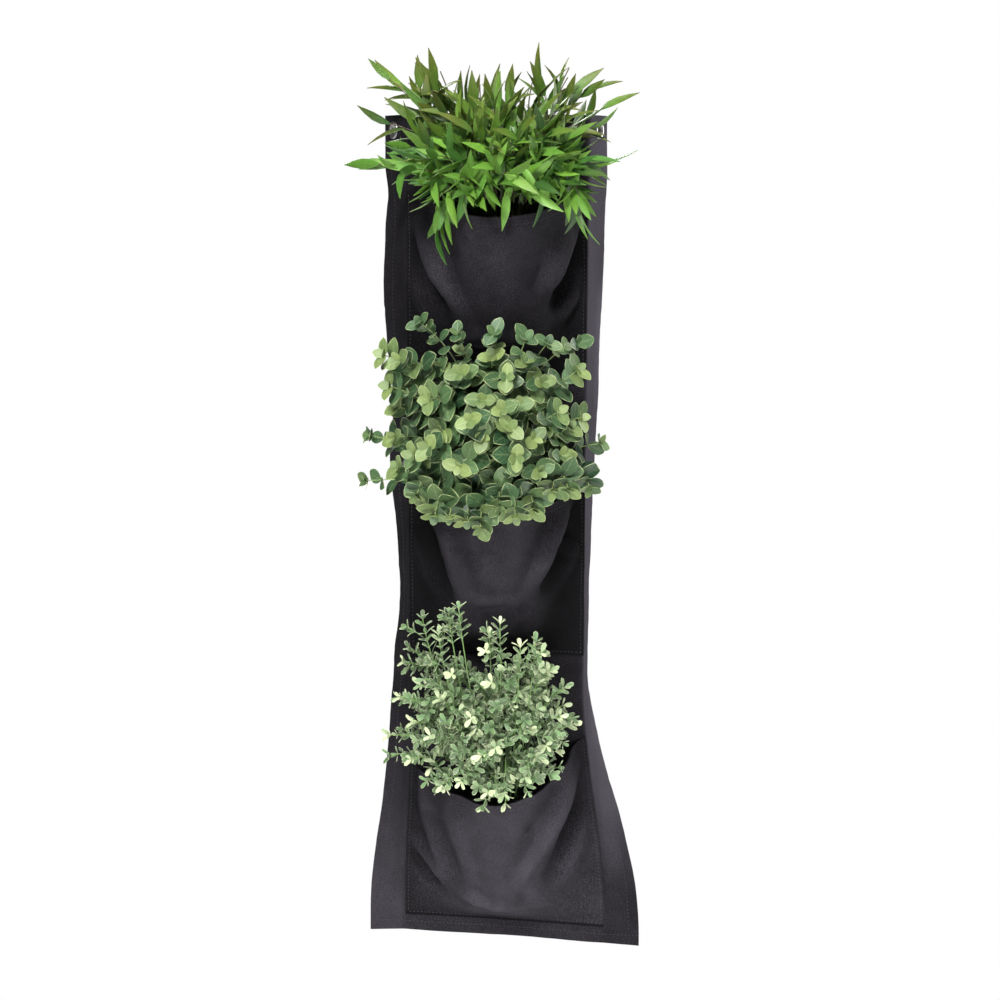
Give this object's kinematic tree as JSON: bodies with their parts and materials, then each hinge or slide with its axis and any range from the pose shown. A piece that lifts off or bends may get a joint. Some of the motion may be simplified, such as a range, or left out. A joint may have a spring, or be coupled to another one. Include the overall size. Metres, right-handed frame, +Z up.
{
  "type": "hanging fabric pocket planter",
  "caption": "Hanging cloth panel with sewn pockets one above the other, eyelets in its top corners, and potted artificial plants that lift out of the pockets.",
  "frame": {"origin": "midway between the two eyelets, in the middle of the cloth", "axes": "+Z up, +X to the right as seen from the front, the front faces -Y"},
  "size_m": [0.3134, 0.2226, 0.9909],
  "materials": {
    "cloth": "coated woven cloth",
    "eyelet_metal": "nickel plated",
    "pot_plastic": "matt",
    "fill": "rough",
    "bamboo_leaf": "satin",
    "eucalyptus_leaf": "satin",
    "boxwood_leaf": "satin"
  },
  "bodies": {
    "planter": {"back_panel": "cloth", "panel_head": "cloth", "panel_foot": "cloth", "top_hem": "cloth", "bottom_hem": "cloth", "left_side_hem": "cloth", "right_side_hem": "cloth", "upper_pocket": "cloth", "middle_pocket": "cloth", "lower_pocket": "cloth", "upper_mouth_hem": "cloth", "middle_mouth_hem": "cloth", "lower_mouth_hem": "cloth", "eyelets": "eyelet_metal", "eyelet_washers": "eyelet_metal"},
    "bamboo_plant": {"bamboo_pot": "pot_plastic", "bamboo_fill": "fill", "bamboo_sprigs": "bamboo_leaf"},
    "eucalyptus_plant": {"eucalyptus_pot": "pot_plastic", "eucalyptus_fill": "fill", "eucalyptus_sprigs": "eucalyptus_leaf"},
    "boxwood_plant": {"boxwood_pot": "pot_plastic", "boxwood_fill": "fill", "boxwood_sprigs": "boxwood_leaf"}
  },
  "joints": [
    {"name": "bamboo_lift", "type": "slide", "parent": "planter", "child": "bamboo_plant", "axis": [0, -0.2079, 0.9781], "range_m": [0, 0.14]},
    {"name": "eucalyptus_lift", "type": "slide", "parent": "planter", "child": "eucalyptus_plant", "axis": [0, -0.2079, 0.9781], "range_m": [0, 0.14]},
    {"name": "boxwood_lift", "type": "slide", "parent": "planter", "child": "boxwood_plant", "axis": [0, -0.2079, 0.9781], "range_m": [0, 0.14]}
  ]
}
